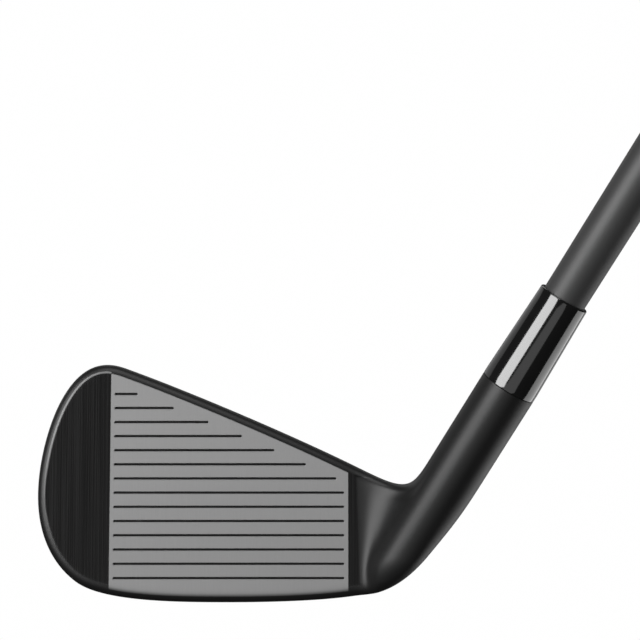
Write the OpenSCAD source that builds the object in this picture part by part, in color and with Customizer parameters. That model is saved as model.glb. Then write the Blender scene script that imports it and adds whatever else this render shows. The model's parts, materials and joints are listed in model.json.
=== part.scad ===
// Long iron golf club, standing as it is held at address: sole on the ground at Z 0,
// toe to heel along X, face towards -Y, shaft leaning towards +X.
// The zero point is the middle of the small flat under the sole.

/* [Club] */
// Length along the shaft, from the ground under the heel to the end of the grip
club_length = 990; // [820:1:1190]
// Angle between the shaft and the ground
lie = 60; // [57:0.5:64]
// Angle the face leans back from upright
loft = 20; // [16:0.5:48]

/* [Head] */
// Toe to heel reach of the blade on the toe side of the face centre
toe_reach = 43.75; // [36:0.25:53]
// Height of the blade at its peak near the toe, measured up the face
toe_height = 53.6; // [44:0.2:64]
// Reach of the flat face on the heel side of the face centre
heel_reach = 28.6; // [25:0.1:34]
// Height of the topline where the flat face ends at the heel
heel_height = 30.5; // [26:0.1:36]
// Thickness of the blade along the topline
top_thickness = 5.8; // [5:0.1:8]
// Depth of the sole behind the face plane
sole_depth = 18.5; // [15:0.5:24]
// Front to back radius of the sole
sole_radius = 60; // [40:1:120]
// Distance from the leading edge back to the lowest line of the sole
sole_low_point = 10.5; // [8:0.5:13]
// Depth of the small flat that carries the sole on the ground
sole_trim = 0.1; // [0.05:0.05:0.3]

/* [Face plate] */
// Thickness of the welded strike plate
plate_thickness = 2.4; // [1.8:0.1:3.2]
// Margin of the head left outside the strike plate
plate_margin = 3; // [2.5:0.1:4]
// Number of score lines
groove_count = 14; // [8:1:16]
// Spacing of the score lines up the face
groove_pitch = 3.21; // [2.8:0.01:3.6]
// Height of the lowest score line up the face
groove_start = 5; // [4.5:0.01:8]
// Width of one score line
groove_width = 0.75; // [0.5:0.05:0.9]
// Depth of one score line
groove_depth = 0.45; // [0.3:0.05:0.5]
// Half the width of the score line field
groove_reach = 26.3; // [22:0.1:27]
// Height left between the topline and the heel end of a score line
groove_gap = 5; // [4:0.1:8]

/* [Hollow] */
// Width of the ledge that carries the strike plate
ledge_width = 2; // [1.5:0.1:3]
// Thickness of the wall behind the cavity
back_wall = 2; // [1.5:0.1:3]
// Size of the toe weight along the sole
weight_length = 14; // [10:0.5:16]
// Size of the toe weight from front to back
weight_depth = 7; // [5:0.5:8]
// Height of the toe weight
weight_height = 7; // [5:0.5:9]
// Length of the slot through the sole
slot_length = 36; // [24:1:36]
// Width of the slot through the sole
slot_width = 2.2; // [1.6:0.1:2.6]
// Distance from the face plane to the front of the slot
slot_setback = 4.6; // [4.2:0.1:5]
// Recess of the slot filler inside the sole
slot_recess = 0.5; // [0.3:0.1:0.8]
// Radius of the plug screw's thread in the toe
port_radius = 2.2; // [1.8:0.1:2.6]
// Radius of the plug screw's head
port_head_radius = 3.2; // [2.8:0.1:3.9]
// Height of the plug screw's head
port_head_height = 1.4; // [1:0.1:1.8]
// Thickness of the sealing washer under the plug screw's head
seal_thickness = 0.5; // [0.3:0.1:0.8]
// Running clearance round the plug screw
port_clearance = 0.1; // [0.05:0.05:0.3]

/* [Hosel and ferrule] */
// Wall thickness of the hosel round its bore
hosel_wall = 1.55; // [1.2:0.05:2]
// Length along the shaft line from the ground to the top of the hosel
hosel_top = 58.8; // [56:0.1:70]
// Depth of the hosel bore
bore_depth = 28.5; // [24:0.5:28.5]
// Thickness of the bond between the shaft tip and the hosel bore
bond_thickness = 0.1; // [0.05:0.05:0.2]
// Distance the leading edge stands in front of the shaft line
shaft_set_back = 3.5; // [2:0.1:5]
// Length of the ferrule
ferrule_length = 23.3; // [18:0.1:30]
// Step from the shaft to the outside of the ferrule at its top
ferrule_lip = 0.77; // [0.5:0.01:1]

/* [Shaft] */
// Radius of the straight tip of the shaft
tip_radius = 4.7; // [3.9:0.05:5.7]
// Growth of the shaft's radius inside the ferrule
neck_growth = 0.25; // [0.1:0.05:0.4]
// Radius of the straight butt of the shaft
butt_radius = 7.6; // [7:0.1:8]
// Wall thickness of the shaft at the tip
tip_wall = 1.4; // [1:0.1:2]
// Wall thickness of the shaft at the butt
butt_wall = 1; // [0.8:0.1:1.5]
// Length of the balance plug in the shaft tip
plug_length = 12; // [6:1:20]

/* [Grip] */
// Length of the grip with its cap
grip_length = 267; // [240:1:290]
// Outside radius of the grip at its mouth
grip_mouth_radius = 9.8; // [9:0.1:11]
// Outside radius of the grip at its butt
grip_butt_radius = 13.2; // [12:0.1:15]
// Thickness of the tape under the grip
tape_thickness = 0.3; // [0.1:0.05:0.6]
// Thickness of the cap at the end of the grip
cap_thickness = 4.5; // [3:0.5:6]
// Outside radius of the cap
cap_radius = 14.2; // [13:0.1:16]
// Radius of the vent hole in the cap
vent_radius = 1.25; // [0.8:0.05:2]

/* [Hidden] */
$fn = 64;
// radius of the front edge at the toe and along the sole and topline
toe_edge = 2.1;
long_edge = 2.3;
// radius of the back edge
rear_edge = 2.2;
// height where the back starts to thin towards the topline, and how fast it does
muscle_top = 7;
muscle_fade = 9;
// share of the upright direction lost to the loft
up_y = sin(loft);
up_z = cos(loft);
// drop of the sole between the leading edge and its lowest line
sole_drop = sole_low_point * sole_low_point / (2 * sole_radius);
// height of the leading edge over the ground
edge_height = long_edge * sin(loft) + sole_drop * cos(loft) - sole_trim;
edge_y = -sole_low_point;
// where the shaft line meets the ground
shaft_x = 1.155 * heel_reach;
shaft_y = edge_y + shaft_set_back;
axis_dir = [cos(lie), 0, sin(lie)];
// distance up the shaft line where the neck becomes round
neck_start = heel_height + 4.5;
// extra length over which the neck keeps to the hosel's round front and back
side_hold = 5;
// where the fillet between the face and the neck starts past the flat face, and how it eases in
fillet_start = 0.4;
fillet_ease = 5;
// height over which the ridge grows out of the leading edge, and its share of the radius down there
ridge_rise = 11;
ridge_share = 0.55;
// height of the toe's outermost point
toe_mid = 0.45 * toe_height;
// cavity reach inside the outline
cavity_margin = plate_margin + ledge_width;
bore_radius = tip_radius + bond_thickness;
hosel_radius = bore_radius + hosel_wall;
neck_radius = tip_radius + neck_growth;
// the neck ends just outside the hosel
neck_round = hosel_radius + 0.05;
ferrule_top_radius = neck_radius + ferrule_lip;
bore_floor = hosel_top - bore_depth;
tip_end = bore_floor + 0.5;
ferrule_top = hosel_top + ferrule_length;
grip_mouth = club_length - grip_length;
cap_floor = club_length - cap_thickness;
taper_end = grip_mouth - 5;
grip_core = butt_radius + tape_thickness;
big = 200;
// low toe corner of the weight pocket, and the part of the weight's depth that the back leaves room for
weight_x = 12 - toe_reach;
weight_y = -3;
weight_z = 5;
weight_room = min(weight_depth, sole_depth - 11.5);
// the sole slot starts beside the weight, ends before the heel and opens into the cavity
slot_toe = weight_x + weight_length + 2;
slot_span = min(slot_length, heel_reach - 6.9 - slot_toe);
slot_x = slot_toe + slot_span / 2;
slot_roof = edge_height + (cavity_margin + 0.9) * up_z;
// plug screw line in face places, its seat and its inner end
port_up = 0.73 * toe_mid;
port_back = 6.2;
port_seat = 3.8 - toe_reach;
port_end = 8.5 - toe_reach;
// shallow bands round the grip
band_count = 4;
band_pitch = 5;
// counts of points: round an edge, across a rim, across the face or back
edge_steps = 3;
rim_steps = 6;
span_steps = 12;
half_ring = 2 * edge_steps + rim_steps;
ring = 2 * half_ring + 2 * span_steps;
// stations: three stretches of the outline, then the neck
toe_stations = 6;
peak_stations = 7;
line_stations = 9;
blade_stations = toe_stations + peak_stations + line_stations;
neck_stations = 16;
last_station = blade_stations + neck_stations;

// outline control points: from the toe tip over the peak to the heel
peak_in = toe_height - 1.1;
top_a = [[-toe_reach, toe_mid], [-toe_reach, toe_mid + 7.7], [2.3 - toe_reach, toe_height - 13.25],
  [4.9 - toe_reach, toe_height - 8.3]];
top_b = [top_a[3], [10.8 - toe_reach, toe_height + 3.05], [17.8 - toe_reach, toe_height - 0.05],
  [20.7 - toe_reach, peak_in]];
top_c = [top_b[3], [34.1 - toe_reach, peak_in - 4.85], [heel_reach - 14.8, heel_height + 7.25],
  [heel_reach, heel_height]];
// the same from the toe tip under the sole to the heel
low_a = [[-toe_reach, toe_mid], [-toe_reach, toe_mid - 8.6], [3.2 - toe_reach, 8.5],
  [9 - toe_reach, 4.4]];
low_b = [low_a[3], [15.3 - toe_reach, 0], [-11.2, 0], [0, 0]];
low_c = [low_b[3], [9.8, 0], [heel_reach - 7.8, 0.3], [heel_reach, 1.4]];

function bez(p, t) = pow(1 - t, 3) * p[0] + 3 * pow(1 - t, 2) * t * p[1] + 3 * (1 - t) * t * t * p[2]
  + pow(t, 3) * p[3];
function bez_way(p, t) = pow(1 - t, 2) * (p[1] - p[0]) + 2 * (1 - t) * t * (p[2] - p[1])
  + t * t * (p[3] - p[2]);
function unit(v) = v / norm(v);
function mix(a, b, t) = a * (1 - t) + b * t;
function clamp(v, lo, hi) = min(max(v, lo), hi);

// station number to a stretch of the outline and the place along it
function stretch(i) = i <= toe_stations ? [0, i / toe_stations]
  : i <= toe_stations + peak_stations ? [1, (i - toe_stations) / peak_stations]
  : [2, (i - toe_stations - peak_stations) / line_stations];
function outline(set, i) = let (s = stretch(i)) bez(set[s[0]], s[1]);
function outline_way(set, i) = let (s = stretch(i)) unit(bez_way(set[s[0]], s[1]));
// outward normals: top half runs heelwards over the top, low half heelwards underneath
function top_out(i) = let (w = outline_way([top_a, top_b, top_c], i)) [-w[1], w[0]];
function low_out(i) = let (w = outline_way([low_a, low_b, low_c], i)) [w[1], -w[0]];
function top_at(i) = outline([top_a, top_b, top_c], i);
function low_at(i) = outline([low_a, low_b, low_c], i);

// depth of the back surface at a height up the face
function back_at(u) = top_thickness
  + (sole_depth - top_thickness) / (1 + pow((max(u, muscle_top) - muscle_top) / muscle_fade, 2));
// how far the rim has moved inside the outline at a depth behind the face
function rim_in(v, r, w) = w * ((v - r) * tan(loft)
  + (pow(v / cos(loft) - sole_low_point, 2) - pow(sole_low_point, 2)) / (2 * sole_radius));
function rim_end(u, r, w, v, n) = n == 0 ? v
  : rim_end(u, r, w, back_at(u + rim_in(v, r, w) * w), n - 1);
// face place (x, height, depth) to the standing club
function stand(p) = [p[0], edge_y + p[1] * up_y + p[2] * up_z, edge_height + p[1] * up_z - p[2] * up_y];
// round arc from a to c inside the corner b
function arc(a, b, c, t) = let (first = pow(1 - t, 2), middle = sqrt(2) * t * (1 - t), last = t * t)
  (a * first + b * middle + c * last) / (first + middle + last);

// one rim, from the face edge to the back edge, at outline place p with outward normal n
function rim(p, n) = let (
    w = pow(asin(clamp(-n[1], 0, 1)) / 90, 1.2),
    r = toe_edge + (long_edge - toe_edge) * abs(n[1]),
    v_end = rim_end(p[1], r, w, back_at(p[1]), 8),
    at = function (inset, v) [p[0] - n[0] * inset, p[1] - n[1] * inset, v],
    face_edge = at(r, 0),
    corner = at(rim_in(0, r, w), 0),
    start = at(rim_in(r, r, w), r),
    finish = at(rim_in(v_end - rear_edge, r, w), v_end - rear_edge),
    back_corner = at(rim_in(v_end, r, w), v_end),
    back_inset = at(rim_in(v_end, r, w) + rear_edge, 0),
    back_edge = [back_inset[0], back_inset[1], back_at(back_inset[1])])
  concat(
    [for (j = [0:edge_steps - 1]) arc(face_edge, corner, start, j / edge_steps)],
    [for (j = [0:rim_steps - 1]) let (v = mix(r, v_end - rear_edge, j / rim_steps)) at(rim_in(v, r, w), v)],
    [for (j = [0:edge_steps]) arc(finish, back_corner, back_edge, j / edge_steps)]);

// one closed ring of the blade: over the topline, down the back, under the sole, up the face
function blade_ring(i) = let (
    over = rim(top_at(i), top_out(i)),
    under = rim(low_at(i), low_out(i)),
    back_top = over[half_ring],
    back_low = under[half_ring])
  concat(
    [for (j = [0:half_ring]) over[j]],
    [for (j = [1:span_steps - 1]) let (
        u = mix(back_top[1], back_low[1], j / span_steps),
        x = mix(back_top[0], back_low[0], j / span_steps)) [x, u, back_at(u)]],
    [for (j = [half_ring:-1:0]) under[j]],
    [for (j = [1:span_steps - 1]) mix(under[0], over[0], j / span_steps)]);

// angle round the neck for each place in the ring, counted from the topline towards the face
function ring_angle(k) = k <= edge_steps ? mix(20, 8, k / edge_steps)
  : k <= edge_steps + rim_steps ? mix(8, -8, (k - edge_steps) / rim_steps)
  : k <= half_ring ? mix(-8, -20, (k - edge_steps - rim_steps) / edge_steps)
  : k <= half_ring + span_steps ? mix(-20, -125, (k - half_ring) / span_steps)
  : k <= ring - span_steps ? mix(-125, -262, (k - half_ring - span_steps) / half_ring)
  : mix(-262, -340, (k - ring + span_steps) / span_steps);
function on_shaft(h) = [shaft_x, shaft_y, 0] + axis_dir * h;
function neck_point(k, r, h) = on_shaft(h) + r * cos(ring_angle(k)) * [-sin(lie), 0, cos(lie)]
  + r * sin(ring_angle(k)) * [0, -1, 0];

// the front of the neck comes to the hosel's cylinder, with a fillet that starts beside the flat face;
// the cylinder narrows into a ridge where it runs out along the leading edge
function stand_out(p, weight) = let (
    rise = clamp((p[2] - edge_height) / ridge_rise, 0, 1),
    r = neck_round * mix(ridge_share, 1, sin(90 * rise)),
    face_y = edge_y + (p[2] - edge_height) * tan(loft),
    front = face_y - shaft_y,
    off = (p[0] - shaft_x) * sin(lie) - p[2] * cos(lie),
    off_start = off - (p[0] - heel_reach - fillet_start) * sin(lie),
    fillet = max((pow(off_start, 2) - pow(r, 2) + front * front) / (2 * (r + front)), 0.01),
    meet = off_start * r / (r + fillet),
    reach = off < meet ? fillet - sqrt(max(fillet * fillet - pow(max(off - off_start, 0), 2), 0))
      : front + sqrt(max(r * r - off * off, 0)),
    share = weight * ease((p[0] - heel_reach) / fillet_ease))
  [p[0], mix(p[1], face_y - max(reach, 0), share), p[2]];
function ease(t) = let (c = clamp(t, 0, 1)) c * c * (3 - 2 * c);
// how far a line of the neck follows that: wholly on the front, fading out under the leading edge
// and beside the topline
function front_weight(k) = let (
    across = (k - ring + span_steps) / span_steps,
    below = (ring - span_steps - k) / (edge_steps + rim_steps / 3))
  ease(1 - below) * ease((1 - across) / 0.15);

// the neck leaves the blade along the face and meets the hosel along the shaft line
function neck_line(start, k, t) = let (
    share = clamp((start[1] - 1.4) / (heel_height - 1.4), 0, 1),
    slope = mix(0.143, -0.49, share),
    leave = mix(14, 12, share) * [1, slope * up_y, slope * up_z],
    turn = (1 - cos(ring_angle(k))) / 2,
    goal = neck_point(k, neck_round, neck_start),
    hold = mix(8, 12, turn) + side_hold * pow(sin(ring_angle(k)), 2),
    from = stand(start))
  stand_out(bez([from, from + leave, goal - axis_dir * hold, goal], t), front_weight(k));

// every ring after the toe tip, blade first
blade_rings = [for (i = [1:blade_stations]) blade_ring(i)];
heel_ring = blade_rings[blade_stations - 1];
tip_ring = rim(top_at(0), [-1, 0]);
function shell_points() = concat(
    [for (p = tip_ring) stand(p)],
    [for (r = blade_rings) for (k = [0:ring - 1]) stand(r[k])],
    [for (j = [1:neck_stations]) for (k = [0:ring - 1]) neck_line(heel_ring[k], k, j / neck_stations)],
    [on_shaft(neck_start)]);
// the toe tip is one shared rim, so both halves of the ring use the same points there
function tip_index(k) = k <= half_ring ? k
  : k < half_ring + span_steps ? half_ring
  : k <= ring - span_steps ? ring - span_steps - k
  : 0;
function index(i, k) = i == 0 ? tip_index(k % ring) : half_ring + 1 + (i - 1) * ring + k % ring;
function sound(f) = f[0] != f[1] && f[1] != f[2] && f[2] != f[0];
function shell_faces() = concat(
    [for (i = [0:last_station - 1]) for (k = [0:ring - 1])
      for (f = [[index(i, k), index(i, k + 1), index(i + 1, k + 1)],
        [index(i, k), index(i + 1, k + 1), index(i + 1, k)]]) if (sound(f)) f],
    [for (k = [0:ring - 1])
      [index(last_station, k), index(last_station, k + 1), index(last_station + 1, 0)]]);

// outline of the face drawn inside the head's own outline
function inset_outline(m) = let (heel_x = heel_reach + 1.4 - m) concat(
    [for (i = [0:blade_stations]) let (p = top_at(i) - top_out(i) * m) if (p[0] < heel_x - 0.5) p],
    [[heel_x, heel_height + 0.49 * (heel_reach - heel_x) - 1.11 * m],
      [heel_x, 1.4 - 0.14 * (heel_reach - heel_x) + m]],
    [for (i = [blade_stations:-1:1]) let (p = low_at(i) - low_out(i) * m) if (p[0] < heel_x - 0.5) p]);

module on_face() {
  translate([0, edge_y, edge_height])
    rotate([90 - loft, 0, 0])
      children();
}

module along_shaft(h) {
  translate(on_shaft(h))
    rotate([0, 90 - lie, 0])
      children();
}

module plate_shape() {
  on_face()
    translate([0, 0, -plate_thickness])
      linear_extrude(plate_thickness)
        polygon(inset_outline(plate_margin));
}

// profile of the cavity across the head: height up the face against depth behind it
module cavity_profile() {
  steps = 14;
  polygon(concat(
    [[0, -plate_thickness], [toe_height, -plate_thickness]],
    [for (j = [steps:-1:0]) let (u = toe_height * j / steps) [u, back_wall - back_at(u)]]));
}

module cavity_space() {
  intersection() {
    on_face()
      translate([-toe_reach, 0, 0])
        rotate([90, 0, 90])
          linear_extrude(2 * toe_reach)
            cavity_profile();
    on_face()
      translate([0, 0, -sole_depth])
        linear_extrude(sole_depth)
          polygon(inset_outline(cavity_margin));
    translate([0, sole_depth, edge_height])
      rotate([90, 0, 0])
        linear_extrude(3 * sole_depth)
          polygon([for (p = inset_outline(cavity_margin)) [p[0], p[1] * up_z]]);
  }
}

// rounded slot shape along X
module slot_shape(length, width) {
  square([length - width, width], center = true);
  for (side = [-1, 1])
    translate([side * (length - width) / 2, 0])
      circle(width / 2);
}

// the slot through the sole runs up behind the strike plate
module sole_slot(low, high) {
  difference() {
    on_face()
      translate([slot_x, 0, -slot_setback - slot_width / 2])
        rotate([90, 0, 0])
          linear_extrude(big / 4, center = true)
            slot_shape(slot_span, slot_width);
    translate([-big / 2, -big / 2, low - big])
      cube(big);
    translate([-big / 2, -big / 2, high])
      cube(big);
  }
}

// the filler stands a little proud of the cavity floor, inside the foam
module slot_filler() {
  sole_slot(slot_recess, slot_roof - 0.4);
}

module weight_block() {
  translate([weight_x, weight_y, weight_z])
    cube([weight_length, weight_room, weight_height]);
}

// cylinder along the plug screw's line, from x to x
module port_cylinder(r, from, to) {
  on_face()
    translate([from, port_up, -port_back])
      rotate([0, 90, 0])
        cylinder(r = r, h = to - from);
}

module head_body() {
  color([0.07, 0.07, 0.08])
    difference() {
      union() {
        polyhedron(shell_points(), shell_faces(), convexity = 8);
        along_shaft(neck_start - 0.3)
          cylinder(r = hosel_radius, h = hosel_top - neck_start + 0.3);
      }
      on_face()
        linear_extrude(2 * plate_thickness, center = true)
          polygon(inset_outline(plate_margin));
      cavity_space();
      weight_block();
      sole_slot(-1, slot_roof);
      along_shaft(bore_floor)
        cylinder(r = bore_radius, h = bore_depth + 1);
      port_cylinder(port_radius, -toe_reach - 2, port_end);
      port_cylinder(port_head_radius + port_clearance, -toe_reach - 2, port_seat);
      translate([-big / 2, -big / 2, -big])
        cube(big);
    }
}

// heel end of the score line at a height, kept clear of the topline
shortest_groove = 4;
topline = [for (i = [toe_stations + 4:blade_stations]) [top_at(i)[1], top_at(i)[0]]];
function groove_end(u) = min(groove_reach, lookup(u + groove_gap, topline));

module face_plate() {
  color([0.52, 0.52, 0.53])
    difference() {
      plate_shape();
      on_face()
        for (i = [0:groove_count - 1]) {
          height = groove_start + i * groove_pitch;
          length = groove_end(height) + groove_reach;
          if (length > shortest_groove && height < toe_height - 2 * plate_margin)
            translate([(groove_end(height) - groove_reach) / 2, height, -groove_depth])
              linear_extrude(2 * groove_depth)
                slot_shape(length, groove_width);
        }
    }
}

module toe_weight() {
  color([0.45, 0.44, 0.42])
    weight_block();
}

module foam_core() {
  color([0.85, 0.8, 0.62])
    difference() {
      cavity_space();
      weight_block();
      slot_filler();
      port_cylinder(port_radius, -toe_reach, port_end);
    }
}

module slot_insert() {
  color([0.12, 0.12, 0.13])
    slot_filler();
}

module port_screw() {
  color([0.3, 0.3, 0.32])
    difference() {
      union() {
        port_cylinder(port_radius - port_clearance / 2, port_seat - 0.2, port_end - 0.4);
        port_cylinder(port_head_radius, port_seat - seal_thickness - port_head_height,
          port_seat - seal_thickness);
        port_cylinder(port_radius - port_clearance, port_seat - seal_thickness - 0.2, port_seat);
      }
      on_face()
        translate([port_seat - seal_thickness - port_head_height - 1, port_up, -port_back])
          rotate([0, 90, 0])
            cylinder(r = 1.5, h = 1 + 2.4, $fn = 6);
    }
}

module port_seal() {
  color([0.05, 0.05, 0.05])
    difference() {
      port_cylinder(port_head_radius - 0.2, port_seat - seal_thickness, port_seat);
      port_cylinder(port_radius, port_seat - seal_thickness - 1, port_seat + 1);
    }
}

// radius of the shaft at a distance up the shaft line
function shaft_radius(h) = h <= hosel_top ? tip_radius
  : h <= ferrule_top ? mix(tip_radius, neck_radius, (h - hosel_top) / ferrule_length)
  : h <= taper_end ? mix(neck_radius, butt_radius, (h - ferrule_top) / (taper_end - ferrule_top))
  : butt_radius;

module shaft() {
  color([0.2, 0.2, 0.21])
    along_shaft(0)
      rotate_extrude()
        polygon([[tip_radius - tip_wall, tip_end], [tip_radius, tip_end], [tip_radius, hosel_top],
          [neck_radius, ferrule_top], [butt_radius, taper_end], [butt_radius, cap_floor],
          [butt_radius - butt_wall, cap_floor], [butt_radius - butt_wall, taper_end],
          [tip_radius - tip_wall, hosel_top]]);
}

module tip_weight() {
  color([0.72, 0.55, 0.25])
    along_shaft(tip_end)
      cylinder(r = tip_radius - tip_wall, h = plug_length);
}

module hosel_bond() {
  color([0.25, 0.25, 0.22])
    along_shaft(bore_floor)
      difference() {
        cylinder(r = bore_radius, h = bore_depth);
        translate([0, 0, tip_end - bore_floor])
          cylinder(r = tip_radius, h = bore_depth);
      }
}

module ferrule() {
  color([0.03, 0.03, 0.03])
    along_shaft(0)
      rotate_extrude()
        polygon([[tip_radius, hosel_top], [hosel_radius, hosel_top],
          [hosel_radius, hosel_top + 1.5], [ferrule_top_radius, ferrule_top - 0.3],
          [ferrule_top_radius - 0.3, ferrule_top], [neck_radius, ferrule_top]]);
}

module grip_tape() {
  color([0.8, 0.78, 0.7])
    along_shaft(grip_mouth + 4)
      difference() {
        cylinder(r = grip_core, h = cap_floor - grip_mouth - 4);
        translate([0, 0, -1])
          cylinder(r = butt_radius, h = grip_length);
      }
}

module grip_sleeve() {
  color([0.06, 0.06, 0.06])
    along_shaft(0)
      rotate_extrude()
        polygon(concat(
          [[butt_radius, grip_mouth], [grip_mouth_radius - 0.8, grip_mouth],
            [grip_mouth_radius, grip_mouth + 1.2], [grip_mouth_radius, grip_mouth + 7]],
          [for (j = [0:band_count - 1]) for (p = band(j)) p],
          [[grip_butt_radius, cap_floor], [grip_core, cap_floor], [grip_core, grip_mouth + 4],
            [butt_radius, grip_mouth + 4]]));
}

// one shallow band cut round the grip
function grip_outside(h) = mix(grip_mouth_radius, grip_butt_radius,
  (h - grip_mouth - 7) / (cap_floor - grip_mouth - 7));
function band(j) = let (h = grip_mouth + 12 + j * band_pitch)
  [[grip_outside(h), h], [grip_outside(h) - 0.5, h + 0.5], [grip_outside(h) - 0.5, h + 1.5],
    [grip_outside(h), h + 2]];

module grip_cap() {
  color([0.05, 0.05, 0.05])
    along_shaft(0)
      rotate_extrude()
        polygon([[vent_radius, cap_floor], [cap_radius - 0.6, cap_floor], [cap_radius, cap_floor + 0.6],
          [cap_radius, club_length - 2.2], [cap_radius - 0.8, club_length - 0.9],
          [cap_radius - 2.4, club_length], [vent_radius, club_length]]);
}

head_body();
face_plate();
toe_weight();
foam_core();
slot_insert();
port_screw();
port_seal();
hosel_bond();
tip_weight();
ferrule();
shaft();
grip_tape();
grip_sleeve();
grip_cap();
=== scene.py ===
import json
import math

import bmesh
import bpy
from mathutils import Matrix, Vector


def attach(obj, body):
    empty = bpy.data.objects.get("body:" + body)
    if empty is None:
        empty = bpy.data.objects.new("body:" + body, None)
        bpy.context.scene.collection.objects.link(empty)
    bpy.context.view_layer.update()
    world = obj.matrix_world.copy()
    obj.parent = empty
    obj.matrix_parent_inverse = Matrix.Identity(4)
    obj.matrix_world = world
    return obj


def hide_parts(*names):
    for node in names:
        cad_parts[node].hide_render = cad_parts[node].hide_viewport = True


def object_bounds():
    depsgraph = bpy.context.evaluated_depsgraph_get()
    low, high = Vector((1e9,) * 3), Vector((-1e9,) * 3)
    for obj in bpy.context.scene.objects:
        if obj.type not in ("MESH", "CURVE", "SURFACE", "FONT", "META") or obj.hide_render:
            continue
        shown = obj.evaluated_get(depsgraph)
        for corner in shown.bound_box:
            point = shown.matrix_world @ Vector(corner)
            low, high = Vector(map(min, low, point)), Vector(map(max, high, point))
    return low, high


# long iron golf club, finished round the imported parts; lengths below are in millimetres
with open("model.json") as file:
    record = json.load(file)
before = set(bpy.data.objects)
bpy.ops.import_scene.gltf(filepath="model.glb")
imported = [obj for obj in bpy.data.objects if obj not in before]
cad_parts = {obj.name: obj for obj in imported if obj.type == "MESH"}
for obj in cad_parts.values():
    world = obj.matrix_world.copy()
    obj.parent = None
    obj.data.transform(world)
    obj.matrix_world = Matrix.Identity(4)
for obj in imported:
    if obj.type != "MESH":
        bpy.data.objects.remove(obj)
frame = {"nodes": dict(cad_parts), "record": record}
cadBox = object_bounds()
mm = 0.001
nodes = frame["nodes"]
mounts = {m["name"]: m for m in frame["record"]["mounts"]}
faceOut = Vector(mounts["strike_face"]["axis"]).normalized()
faceUp = Vector((0, faceOut.z, -faceOut.y))
shaftWay = Vector(mounts["butt_end"]["axis"]).normalized()
buttEnd = Vector(mounts["butt_end"]["pos_m"]) / mm
shaftFoot = buttEnd - shaftWay * (buttEnd.z / shaftWay.z)  # where the shaft line meets the ground
clubLength = (buttEnd - shaftFoot).length
soleSide = Vector((shaftWay.z, 0, -shaftWay.x))  # square to the shaft, towards the heel side
shaftFront = Vector((0, -1, 0))

blade = {
    "toeReach": 43.75,
    "toeHeight": 53.6,
    "heelReach": 28.6,
    "heelHeight": 30.5,
    "toplineThickness": 5.8,
    "soleDepth": 18.5,
    "soleRadius": 60.0,
    "soleLow": 10.5,  # from the leading edge back to the lowest line
    "toeEdge": 2.1,
    "longEdge": 2.3,
    "rearEdge": 2.2,
    "muscleTop": 7.0,
    "muscleFade": 9.0,
    "faceMiddle": 19.775,  # height of the face mount up the face
    "hoselRadius": 6.35,
    "hoselTop": 58.8,
    "neckStart": 35.0,
    "sideHold": 5.0,
    "filletStart": 0.4,  # past the heel end of the flat face
    "filletEase": 5.0,
    "ridgeRise": 11.0,  # height over which the ridge grows out of the leading edge
    "ridgeShare": 0.55,  # of the hosel's radius, where the ridge runs out
    "heelLow": 1.4,  # height of the leading edge where the flat face ends
    "heelRise": 0.143,  # slope of the leading edge there
    "heelFall": 0.49,  # slope of the topline there
    "leaveLow": 14.0,  # how far the neck holds the blade's direction, low and high
    "leaveHigh": 12.0,
    "holdToe": 8.0,  # how far it holds the hosel's direction, on the toe side and the heel side
    "holdHeel": 12.0,
    "rimTurn": 1.2,  # how quickly the rim turns into the sole round the toe
    "frontEase": 0.15,  # share of the neck's front, next to the topline, where the cylinder fades out
    "plateMargin": 3.0,
    "plateThickness": 2.4,
    "plateHeel": 1.4,  # how far the plate's outline would pass the flat without its margin
    "plateTopSlant": 1.11,  # the margin as measured straight down from the slanting topline
    "plateLowSlope": 0.14,  # slope of the plate's lower edge at the heel
    "hoselLevels": (40, 46, 52),
    "hoselRounding": ((0.25, 0.0), (0.07, 0.06), (0.0, 0.22)),  # below the top, inside the radius
    "edgeSteps": 7,
    "rimSteps": 14,
    "spanSteps": 44,
    "stations": (22, 26, 30, 60),  # toe, peak, topline, neck
}
faceFoot = Vector(mounts["strike_face"]["pos_m"]) / mm - faceUp * blade["faceMiddle"]


# small helpers for meshes

def stand(x, up, back):
    # a place on the face, with a depth behind it, to the standing club
    return faceFoot + Vector((x, 0, 0)) + faceUp * up - faceOut * back


def onShaft(h):
    return shaftFoot + shaftWay * h


def buildPiece(name, points, faces, mergeBy=0.0008):
    # built and cut in millimetres, finished in metres
    mesh = bpy.data.meshes.new(name)
    mesh.from_pydata(points, [], faces)
    shape = bmesh.new()
    shape.from_mesh(mesh)
    bmesh.ops.remove_doubles(shape, verts=shape.verts, dist=mergeBy)
    bmesh.ops.recalc_face_normals(shape, faces=shape.faces)
    shape.to_mesh(mesh)
    shape.free()
    piece = bpy.data.objects.new(name, mesh)
    bpy.context.scene.collection.objects.link(piece)
    return piece


def settle(piece):
    # modifiers become plain mesh
    view = bpy.context.evaluated_depsgraph_get()
    view.update()
    mesh = bpy.data.meshes.new_from_object(piece.evaluated_get(view))
    piece.modifiers.clear()
    piece.data = mesh
    mesh.name = piece.name


def cutAway(piece, cutters, operation="DIFFERENCE"):
    for cutter in cutters:
        step = piece.modifiers.new(cutter.name, "BOOLEAN")
        step.operation = operation
        step.solver = "EXACT"
        step.object = cutter
        settle(piece)
        bpy.data.objects.remove(cutter)


def finishPiece(piece, sharpDegrees=32.0, weighted=True):
    piece.data.transform(Matrix.Scale(mm, 4))
    shape = bmesh.new()
    shape.from_mesh(piece.data)
    for face in shape.faces:
        face.smooth = True
    for edge in shape.edges:
        flat = len(edge.link_faces) == 2 and edge.calc_face_angle(0) < math.radians(sharpDegrees)
        edge.smooth = flat
    shape.to_mesh(piece.data)
    shape.free()
    if weighted:
        step = piece.modifiers.new("weights", "WEIGHTED_NORMAL")
        step.keep_sharp = True
        step.weight = 80


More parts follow.
